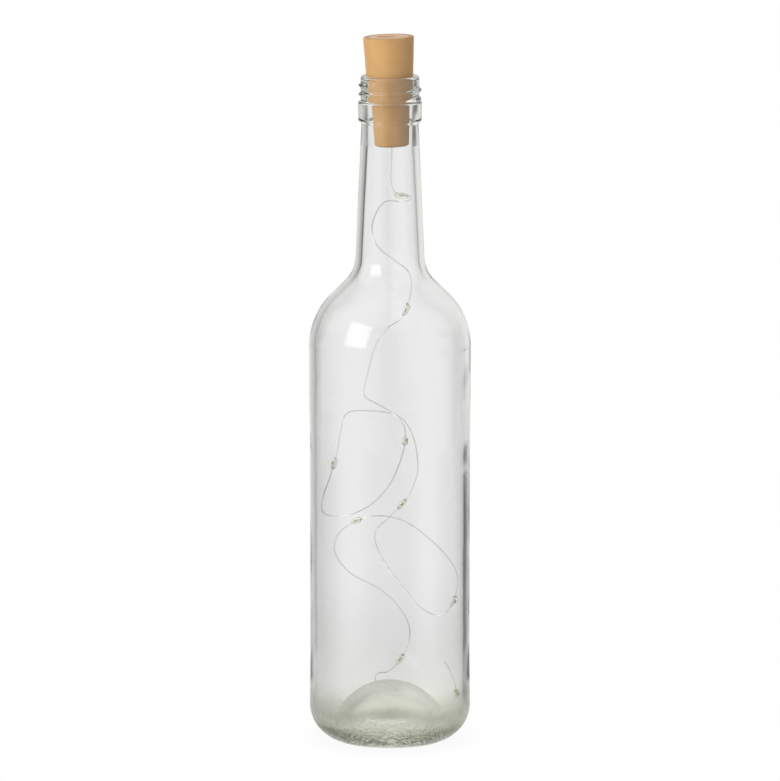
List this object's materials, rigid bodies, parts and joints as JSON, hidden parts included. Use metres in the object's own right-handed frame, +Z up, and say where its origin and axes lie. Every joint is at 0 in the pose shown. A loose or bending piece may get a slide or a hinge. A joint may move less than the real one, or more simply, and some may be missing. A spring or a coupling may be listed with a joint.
{
  "type": "cork bottle light",
  "caption": "Clear glass wine bottle with a tan cork-shaped stopper that holds button cells and a switch and feeds a string of tiny lights hanging in loose curls inside the bottle.",
  "frame": {"origin": "centre of the ring the bottle stands on, on the bottle's axis", "axes": "+Z up along the bottle's axis; -Y towards the camera of the picture; +X to its right"},
  "size_m": [0.076, 0.076, 0.3341],
  "materials": {
    "clear_glass": "clear flint glass, polished by fire, faintly green in the thick base",
    "tan_stopper": "smooth tan moulded plastic, satin",
    "gland_rubber": "soft tan bush, matt",
    "silver_wire": "thin silvery enamelled wire, glossy",
    "led_resin": "clear cast resin, glossy",
    "led_phosphor": "pale yellow phosphor",
    "solder": "bright solder",
    "board": "green circuit board",
    "resistor": "black chip body",
    "spring_steel": "nickel-plated spring wire",
    "contact_metal": "nickel-plated strip",
    "carrier_plastic": "off-white moulded plastic",
    "switch_metal": "plated sheet metal",
    "knob_plastic": "black moulded plastic",
    "cell_steel": "nickel-plated steel, polished",
    "cell_seal": "dark seal ring"
  },
  "bodies": {
    "bottle": {"glass_bottle": "clear_glass"},
    "stopper": {"stopper_shell": "tan_stopper", "wire_gland": "gland_rubber", "inner_lead": "silver_wire", "solder_joints": "solder", "contact_board": "board", "series_resistor": "resistor", "contact_spring": "spring_steel", "contact_finger": "contact_metal", "light_wire": "silver_wire", "led_bead_01": "led_resin", "led_bead_02": "led_resin", "led_bead_03": "led_resin", "led_bead_04": "led_resin", "led_bead_05": "led_resin", "led_bead_06": "led_resin", "led_bead_07": "led_resin", "led_bead_08": "led_resin", "led_bead_09": "led_resin", "led_chip_01": "led_phosphor", "led_chip_02": "led_phosphor", "led_chip_03": "led_phosphor", "led_chip_04": "led_phosphor", "led_chip_05": "led_phosphor", "led_chip_06": "led_phosphor", "led_chip_07": "led_phosphor", "led_chip_08": "led_phosphor", "led_chip_09": "led_phosphor"},
    "cartridge": {"switch_lid": "tan_stopper", "switch_case": "switch_metal", "battery_carrier": "carrier_plastic", "top_contact": "contact_metal", "side_strip": "contact_metal", "cell_1_can": "cell_steel", "cell_1_seal": "cell_seal", "cell_1_cap": "cell_steel", "cell_2_can": "cell_steel", "cell_2_seal": "cell_seal", "cell_2_cap": "cell_steel", "cell_3_can": "cell_steel", "cell_3_seal": "cell_seal", "cell_3_cap": "cell_steel"},
    "knob": {"switch_knob": "knob_plastic"}
  },
  "joints": [
    {"name": "stopper_lift", "type": "slide", "parent": "bottle", "child": "stopper", "axis": [-0.0314, 0, 0.9995], "range_m": [0, 0.036]},
    {"name": "cartridge_pull", "type": "slide", "parent": "stopper", "child": "cartridge", "axis": [-0.0314, 0, 0.9995], "range_m": [0, 0.027]},
    {"name": "switch_slide", "type": "slide", "parent": "cartridge", "child": "knob", "axis": [0.9995, 0, 0.0314], "range_m": [0, 0.002]}
  ]
}
